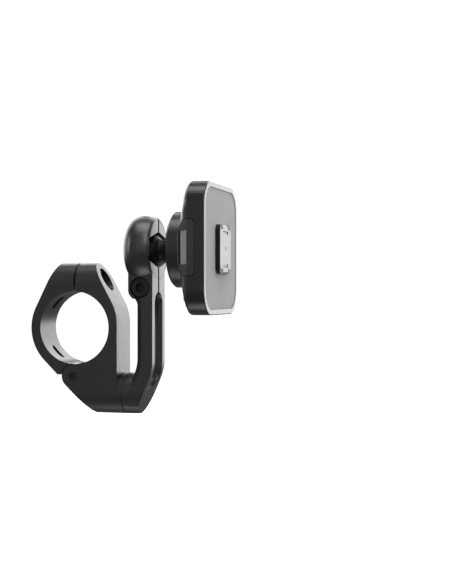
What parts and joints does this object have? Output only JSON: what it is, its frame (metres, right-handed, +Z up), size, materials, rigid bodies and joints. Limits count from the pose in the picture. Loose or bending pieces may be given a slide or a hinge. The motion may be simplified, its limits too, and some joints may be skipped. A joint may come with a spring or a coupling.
{
  "type": "handlebar phone mount",
  "caption": "Handlebar phone mount: hinged bar clamp, swivelling offset arm, ball joint and a square quick-release plate with side buttons.",
  "frame": {"origin": "centre of the handlebar bore, mid-width of the clamp", "axes": "+Y along the handlebar, +X from the bar towards the phone plate, +Z up from the clamp's hinge to its bolt"},
  "size_m": [0.0863, 0.0562, 0.1],
  "materials": {
    "anodised": "satin black anodised",
    "steel": "plain",
    "black_steel": "black oxide",
    "black_plastic": "fine grained",
    "seat_plastic": "smooth",
    "rubber": "matt grey",
    "light_metal": "fine blasted"
  },
  "bodies": {
    "root": {"clamp_body": "anodised", "hinge_pin": "steel", "pivot_bolt": "black_steel", "pivot_washer": "steel"},
    "jaw": {"clamp_jaw": "anodised"},
    "cross_bolt": {"clamp_bolt": "black_steel", "clamp_washer": "steel"},
    "offset_arm": {"arm": "anodised", "ball_bolt": "black_steel", "ball_bolt_washer": "steel"},
    "swivel_seat": {"rear_seat": "seat_plastic"},
    "tilt_seat": {"front_seat": "seat_plastic"},
    "head": {"ball_stud": "black_steel", "stud_screw": "black_steel", "stud_washer": "steel", "back_disc": "black_plastic", "disc_screws": "black_steel", "back_cover": "black_plastic", "chassis_plate": "steel", "front_frame": "anodised", "grip_pad": "rubber", "lock_tile": "black_plastic", "tile_plate": "light_metal", "tile_screws": "black_steel", "magnets": "steel", "housing_screws": "black_steel", "upper_latch_springs": "steel", "lower_latch_springs": "steel"},
    "upper_catch": {"upper_latch": "light_metal"},
    "lower_catch": {"lower_latch": "light_metal"},
    "left_release": {"left_button": "black_plastic"},
    "right_release": {"right_button": "black_plastic"}
  },
  "joints": [
    {"name": "jaw_hinge", "type": "hinge", "parent": "root", "child": "jaw", "pos_m": [-0.0005, 0, -0.0213], "axis": [0, -1, 0], "range_deg": [0, 60]},
    {"name": "clamp_bolt_travel", "type": "slide", "parent": "root", "child": "cross_bolt", "axis": [1, 0, 0], "range_m": [0, 0.0081]},
    {"name": "arm_swivel", "type": "hinge", "parent": "root", "child": "offset_arm", "pos_m": [0.0216, 0, -0.0288], "axis": [1, 0, 0], "range_deg": [-180, 180]},
    {"name": "ball_swivel", "type": "hinge", "parent": "offset_arm", "child": "swivel_seat", "pos_m": [0.0312, 0, 0.034], "axis": [0, 0, 1], "range_deg": [-15, 15]},
    {"name": "ball_tilt", "type": "hinge", "parent": "swivel_seat", "child": "tilt_seat", "pos_m": [0.0312, 0, 0.034], "axis": [0, 1, 0], "range_deg": [-15, 15]},
    {"name": "ball_turn", "type": "hinge", "parent": "tilt_seat", "child": "head", "pos_m": [0.0312, 0, 0.034], "axis": [1, 0, 0], "continuous": true},
    {"name": "left_button_press", "type": "slide", "parent": "head", "child": "left_release", "axis": [0, 1, 0], "range_m": [0, 0.0012], "stiffness_N_per_m": 1500, "springref_m": -0.0005},
    {"name": "right_button_press", "type": "slide", "parent": "head", "child": "right_release", "axis": [0, -1, 0], "range_m": [0, 0.0012]},
    {"name": "upper_latch_slide", "type": "slide", "parent": "head", "child": "upper_catch", "axis": [0, 0, -1], "range_m": [0, 0.0012], "deforming": ["upper_latch_springs"]},
    {"name": "lower_latch_slide", "type": "slide", "parent": "head", "child": "lower_catch", "axis": [0, 0, 1], "range_m": [0, 0.0012], "deforming": ["lower_latch_springs"]}
  ],
  "couplings": [
    {"joint": "clamp_bolt_travel", "follows": "jaw_hinge", "m_per_rad": 0.00764},
    {"joint": "right_button_press", "follows": "left_button_press", "ratio": 1},
    {"joint": "upper_latch_slide", "follows": "left_button_press", "ratio": 1},
    {"joint": "lower_latch_slide", "follows": "left_button_press", "ratio": 1}
  ]
}
